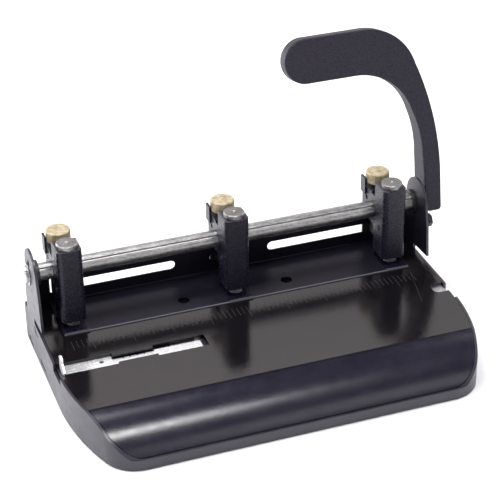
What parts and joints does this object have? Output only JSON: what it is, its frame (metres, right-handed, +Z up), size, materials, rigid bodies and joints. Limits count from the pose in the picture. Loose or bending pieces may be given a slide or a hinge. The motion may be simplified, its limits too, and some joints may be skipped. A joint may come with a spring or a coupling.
{
  "type": "three hole punch",
  "caption": "Heavy-duty desktop punch: a swing-over lever turns a shaft whose pinions drive pins through a paper slot above a wide sloping table.",
  "frame": {"origin": "on the surface the punch stands on, straight below the centre punch pin's axis", "axes": "+Z up, +X to the user's right along the punching line, +Y to the rear"},
  "size_m": [0.2823, 0.1724, 0.1769],
  "materials": {
    "frame_paint": "satin black enamel, fine orange peel",
    "table_paint": "gloss black enamel",
    "plate_paint": "satin black enamel, smooth",
    "head_paint": "semi-gloss black over a cast surface",
    "drawer_paint": "satin black enamel",
    "handle_paint": "textured matte black enamel",
    "mat_rubber": "matte non-skid rubber",
    "bushing_black": "matte black",
    "shaft_steel": "turned and ground steel",
    "pinion_steel": "oiled cut steel",
    "spring_steel": "drawn spring wire",
    "die_steel": "ground die steel",
    "plated_steel": "zinc plated, satin",
    "bright_plate": "bright plated steel",
    "black_hardware": "black oxide",
    "knob_brass": "pale knurled brass"
  },
  "bodies": {
    "base": {"side_frame": "frame_paint", "table_plate": "table_paint", "base_mat": "mat_rubber", "base_pan": "frame_paint", "bridge_plate": "plate_paint", "die_bar": "die_steel", "notch_plate": "plated_steel", "shaft_bushing_left": "bushing_black", "shaft_bushing_right": "bushing_black", "handle_stop_bolt": "black_hardware", "gauge_channel": "frame_paint", "gauge_spring": "plated_steel", "head_body_centre": "head_paint", "pin_spring_centre": "spring_steel", "clamp_shoe_centre": "black_hardware", "side_screw_centre": "black_hardware", "die_insert_left": "bright_plate", "die_insert_centre": "bright_plate", "die_insert_right": "bright_plate"},
    "lever": {"drive_shaft": "shaft_steel", "handle_lever": "handle_paint", "handle_set_screw": "black_hardware", "shaft_clip": "plated_steel", "shaft_spacer": "bushing_black"},
    "left_head": {"head_body_left": "head_paint", "pin_spring_left": "spring_steel", "clamp_shoe_left": "black_hardware", "side_screw_left": "black_hardware"},
    "right_head": {"head_body_right": "head_paint", "pin_spring_right": "spring_steel", "clamp_shoe_right": "black_hardware", "side_screw_right": "black_hardware"},
    "paper_stop": {"paper_gauge": "bright_plate"},
    "drawer": {"chip_drawer": "drawer_paint"},
    "left_pinion": {"drive_pinion_left": "pinion_steel"},
    "left_pin": {"punch_pin_left": "shaft_steel"},
    "left_thumb_screw": {"thumb_screw_left": "knob_brass"},
    "centre_pinion": {"drive_pinion_centre": "pinion_steel"},
    "centre_pin": {"punch_pin_centre": "shaft_steel"},
    "centre_thumb_screw": {"thumb_screw_centre": "knob_brass"},
    "right_pinion": {"drive_pinion_right": "pinion_steel"},
    "right_pin": {"punch_pin_right": "shaft_steel"},
    "right_thumb_screw": {"thumb_screw_right": "knob_brass"}
  },
  "joints": [
    {"name": "handle_swing", "type": "hinge", "parent": "base", "child": "lever", "pos_m": [0, 0.014, 0.0604], "axis": [1, 0, 0], "range_deg": [0, 85], "stiffness_Nm_per_rad": 0.35, "springref_deg": -28.65},
    {"name": "left_head_slide", "type": "slide", "parent": "base", "child": "left_head", "axis": [1, 0, 0], "range_m": [0, 0.073]},
    {"name": "right_head_slide", "type": "slide", "parent": "base", "child": "right_head", "axis": [-1, 0, 0], "range_m": [0, 0.073]},
    {"name": "paper_stop_slide", "type": "slide", "parent": "base", "child": "paper_stop", "axis": [-1, 0, 0], "range_m": [0, 0.045]},
    {"name": "drawer_slide", "type": "slide", "parent": "base", "child": "drawer", "axis": [0, 1, 0], "range_m": [0, 0.045]},
    {"name": "left_pinion_turn", "type": "hinge", "parent": "left_head", "child": "left_pinion", "pos_m": [-0.10795, 0.014, 0.0604], "axis": [1, 0, 0], "range_deg": [0, 85.5]},
    {"name": "left_pin_stroke", "type": "slide", "parent": "left_head", "child": "left_pin", "axis": [0, 0, -1], "range_m": [0, 0.0131], "deforming": ["pin_spring_left"]},
    {"name": "left_thumb_screw_turn", "type": "hinge", "parent": "left_head", "child": "left_thumb_screw", "pos_m": [-0.10795, 0.0233, 0.079], "axis": [0, 0, 1], "range_deg": [0, 360]},
    {"name": "centre_pinion_turn", "type": "hinge", "parent": "base", "child": "centre_pinion", "pos_m": [0, 0.014, 0.0604], "axis": [1, 0, 0], "range_deg": [0, 85.5]},
    {"name": "centre_pin_stroke", "type": "slide", "parent": "base", "child": "centre_pin", "axis": [0, 0, -1], "range_m": [0, 0.0131], "deforming": ["pin_spring_centre"]},
    {"name": "centre_thumb_screw_turn", "type": "hinge", "parent": "base", "child": "centre_thumb_screw", "pos_m": [0, 0.0233, 0.079], "axis": [0, 0, 1], "range_deg": [0, 360]},
    {"name": "right_pinion_turn", "type": "hinge", "parent": "right_head", "child": "right_pinion", "pos_m": [0.10795, 0.014, 0.0604], "axis": [1, 0, 0], "range_deg": [0, 85.5]},
    {"name": "right_pin_stroke", "type": "slide", "parent": "right_head", "child": "right_pin", "axis": [0, 0, -1], "range_m": [0, 0.0131], "deforming": ["pin_spring_right"]},
    {"name": "right_thumb_screw_turn", "type": "hinge", "parent": "right_head", "child": "right_thumb_screw", "pos_m": [0.10795, 0.0233, 0.079], "axis": [0, 0, 1], "range_deg": [0, 360]}
  ],
  "couplings": [
    {"joint": "left_pinion_turn", "follows": "handle_swing", "ratio": 1},
    {"joint": "left_pin_stroke", "follows": "handle_swing", "m_per_rad": 0.00875},
    {"joint": "centre_pinion_turn", "follows": "handle_swing", "ratio": 1},
    {"joint": "centre_pin_stroke", "follows": "handle_swing", "m_per_rad": 0.00875},
    {"joint": "right_pinion_turn", "follows": "handle_swing", "ratio": 1},
    {"joint": "right_pin_stroke", "follows": "handle_swing", "m_per_rad": 0.00875}
  ]
}
